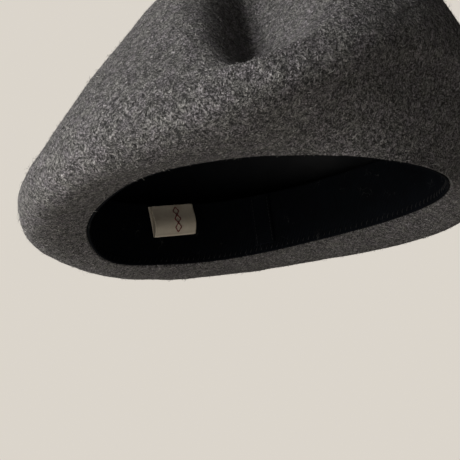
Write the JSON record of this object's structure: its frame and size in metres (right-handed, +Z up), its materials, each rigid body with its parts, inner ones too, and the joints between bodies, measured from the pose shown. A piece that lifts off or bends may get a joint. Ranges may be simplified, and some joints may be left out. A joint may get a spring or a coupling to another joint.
{
  "type": "felt beret",
  "caption": "Softly draped wool felt beret with a rolled-under edge, satin lining, ribbon sweatband, top stalk and a hanging woven loop label",
  "frame": {"origin": "centre of the head opening, at the mean height of the rim", "axes": "+Z up along the opening's axis through the crown, +Y towards the back of the head, +X towards the wearer's left"},
  "size_m": [0.2317, 0.2345, 0.1522],
  "materials": {
    "felt": "brushed charcoal heather wool felt",
    "lining": "black satin",
    "ribbon": "black ribbed grosgrain",
    "label": "cream woven taffeta with a red woven pattern",
    "thread": "black sewing thread",
    "label_thread": "cream sewing thread"
  },
  "bodies": {
    "beret": {"felt_shell": "felt", "stalk": "felt", "crown_lining": "lining", "side_lining": "lining", "sweatband": "ribbon", "band_join_tab": "ribbon", "rim_stitching": "thread", "lining_seam_stitching": "thread", "lining_hem_stitching": "thread", "band_join_stitching_left": "thread", "band_join_stitching_right": "thread", "label_stitching": "label_thread"},
    "label": {"label": "label"}
  },
  "joints": [
    {"name": "label_flip", "type": "hinge", "parent": "beret", "child": "label", "pos_m": [-0.0505, 0.05672, 0.03136], "axis": [-0.8355, -0.5494, 0], "range_deg": [0, 110]}
  ]
}
